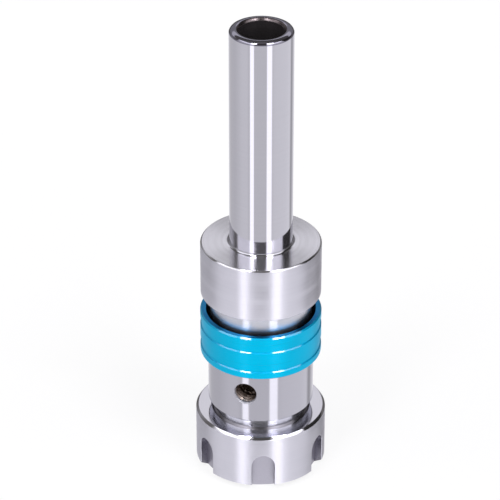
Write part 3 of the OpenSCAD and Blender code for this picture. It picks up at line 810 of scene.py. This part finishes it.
camera_data = bpy.data.cameras.new("camera")
camera_data.sensor_width = SENSOR
camera_data.lens = LENS
camera_data.shift_x = SHIFT
camera = bpy.data.objects.new("camera", camera_data)
bpy.context.scene.collection.objects.link(camera)
camera.location = TARGET + DISTANCE * Vector((0, -math.cos(ELEVATION), math.sin(ELEVATION)))
level_look = Euler((math.pi / 2 - ELEVATION, 0, 0)).to_quaternion()
camera.rotation_euler = (level_look @ Quaternion((0, 0, 1), ROLL)).to_euler()
bpy.context.scene.camera = camera

# %% [markdown]
# ## The studio
#
# Polished steel shows the room, so the room is what has to be made. It is drawn in the world as
# bands of brightness, each a list of (direction, level) with 0 towards the camera and 90 to the
# right. From below: the shade under the holder, the table with the strip lights mirrored in it,
# the dim horizon, the tent with the two strip lights and the dim gap between them where the camera
# stands, the softboxes with their bright middles, and the dim ceiling. A black screen stands on
# the right and gives the steel its dark accents. The levels were matched to tones measured on
# the photographed steel, and those of the table follow a band of rows across its shank. The
# camera itself sees plain white, while the steel mirrors the studio.

# %% World
PEAK = 14.0
SHADE = [(-180, 0.35), (180, 0.35)]
NEAR_TABLE = [(-180, 0.9), (-45, 0.9), (-25, 1.6), (20, 1.6), (40, 0.9), (180, 0.9)]
STRIPS = [(-41, 0.72), (-39.8, 1.52), (-27, 1.52), (-25.5, 0.7), (18.5, 0.7), (20.5, 1.52),
          (37, 1.52), (38.5, 0.75)]
TABLE = [(-180, 0.95), (-150, 0.7), (-138, 0.62), (-105, 0.64), (-88, 0.7), (-72, 0.76), (-52, 0.77),
         (-45, 0.7), *STRIPS, (50, 0.81), (100, 0.84), (119, 0.88), (124, 0.75), (129, 0.44),
         (138, 0.46), (146, 0.7), (180, 0.95)]
HORIZON = [(-180, 0.14), (-148, 0.14), (-120, 0.35), (-80, 0.5), (-44, 0.6), (0, 0.65), (41, 0.6),
           (85, 0.5), (92, 0.18), (132, 0.18), (140, 0.14), (180, 0.14)]
FRONT = [(-110, 0.15), (-97, 0.15), (-89, 0.8), (-42, 0.8), (-40.5, 1.75), (-27, 1.75), (-25.5, 0.1),
         (18.5, 0.1), (20.5, 1.75), (37.5, 1.75), (39, 0.9), (83, 0.9), (87, 0.03), (130, 0.03)]
LOW_TENT = [(-180, 0.32), (-130, 0.32), *FRONT, (138, 0.32), (180, 0.32)]
TENT = [(-180, 0.85), (-130, 0.85), *FRONT, (138, 0.85), (180, 0.85)]
SOFTBOXES = [(-180, 0.12), (-105, 0.12), (-99, 2), (-30, 2), (-26, 0.08), (19, 0.08), (23, 2),
             (86, 2), (90, 0.05), (130, 0.05), (138, 0.12), (180, 0.12)]
MIDDLES = [(-180, 0.12), (-135, 0.12), (-120, 0.45), (-99, 0.6), (-48, 0.6), (-46, PEAK), (-25, PEAK),
           (-23, 0.08), (28, 0.08), (30, PEAK), (55, PEAK), (57, 0.7), (86, 0.7), (90, 0.05),
           (130, 0.05), (138, 0.12), (180, 0.12)]
CEILING = [(-180, 0.2), (180, 0.2)]
BANDS = [(0, 0, SHADE), (-72, -62, NEAR_TABLE), (-43, -39, TABLE), (-18, -12, HORIZON),
         (11, 15, LOW_TENT), (28, 29.2, TENT), (37, 38.5, SOFTBOXES), (50, 51, MIDDLES),
         (62, 64, CEILING)]
# The lights are a little cool, and what is dimmer than this level is a little warm.
COOL_TINT, WARM_TINT, DIM = (0.995, 0.985, 1.03), (1.04, 1.0, 0.97), 0.3

world = bpy.data.worlds.new("studio")
bpy.context.scene.world = world
world.use_nodes = True
tree = world.node_tree
tree.nodes.clear()
axes = add(tree, "ShaderNodeSeparateXYZ",
           {0: add(tree, "ShaderNodeTexCoord").outputs["Generated"]})
front = add(tree, "ShaderNodeMath", {0: axes.outputs["Y"], 1: -1.0}, operation="MULTIPLY")
azimuth = add(tree, "ShaderNodeMath", {0: axes.outputs["X"], 1: front.outputs[0]},
              operation="ARCTAN2")
turn = add(tree, "ShaderNodeMapRange",
           {"Value": azimuth.outputs[0], "From Min": -math.pi, "From Max": math.pi})
elevation = add(tree, "ShaderNodeMath", {0: axes.outputs["Z"]}, operation="ARCSINE").outputs[0]

level = None
for low, high, stops in BANDS:
    ramp = add(tree, "ShaderNodeValToRGB", {"Fac": turn.outputs["Result"]})
    for _ in stops[2:]:
        ramp.color_ramp.elements.new(0.5)
    for element, (degrees, bright) in zip(ramp.color_ramp.elements, stops):
        element.position = (degrees + 180) / 360
        tint = COOL_TINT if bright > DIM else WARM_TINT
        element.color = (*[bright / PEAK * share for share in tint], 1)
    if level is None:
        level = ramp.outputs["Color"]
        continue
    rise = add(tree, "ShaderNodeMapRange",
               {"Value": elevation, "From Min": math.radians(low), "From Max": math.radians(high)},
               interpolation_type="SMOOTHSTEP")
    mixed = add(tree, "ShaderNodeMix",
                {0: rise.outputs["Result"], 6: level, 7: ramp.outputs["Color"]}, data_type="RGBA")
    level = mixed.outputs[2]

studio = add(tree, "ShaderNodeBackground", {"Color": level, "Strength": PEAK})
white = add(tree, "ShaderNodeBackground", {"Color": (1, 1, 1, 1), "Strength": 1.0})
seen = add(tree, "ShaderNodeLightPath")
both = add(tree, "ShaderNodeMixShader", {0: seen.outputs["Is Camera Ray"],
                                         1: studio.outputs[0], 2: white.outputs[0]})
add(tree, "ShaderNodeOutputWorld", {"Surface": both.outputs[0]})

# %% [markdown]
# ## The floor
#
# The holder stands on a white sheet. The sheet glows a little, so it stays white up to its edge,
# and its diffuse share takes the soft shadow of the nut. Only the camera sees it: what the steel
# shows of the table is the lower half of the studio.

# %% Floor
FLOOR_R, GLOW, GLOW_SHARE = 6, 1.06, 0.8

bpy.ops.object.select_all(action="DESELECT")
bpy.ops.mesh.primitive_circle_add(vertices=96, radius=FLOOR_R, fill_type="NGON", location=(0, 0, 0))
floor = bpy.context.object
floor.name = "floor"
floor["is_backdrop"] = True
for ray in ("visible_diffuse", "visible_glossy", "visible_transmission", "visible_shadow"):
    setattr(floor, ray, False)
sheet = bpy.data.materials.new("white_paper_floor")
sheet.use_nodes = True
tree = sheet.node_tree
tree.nodes.clear()
paper = add(tree, "ShaderNodeBsdfDiffuse", {"Color": linear("#F4F4F4")})
glow = add(tree, "ShaderNodeEmission", {"Color": (1, 1, 1, 1), "Strength": GLOW})
blend = add(tree, "ShaderNodeMixShader", {0: GLOW_SHARE, 1: paper.outputs[0], 2: glow.outputs[0]})
add(tree, "ShaderNodeOutputMaterial", {"Surface": blend.outputs[0]})
floor.data.materials.append(sheet)

# %% View settings and sizes
bpy.context.scene.view_settings.view_transform = "Standard"
low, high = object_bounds()
print("visual box in mm:", [round(v / MM, 2) for v in (*low, *high)])
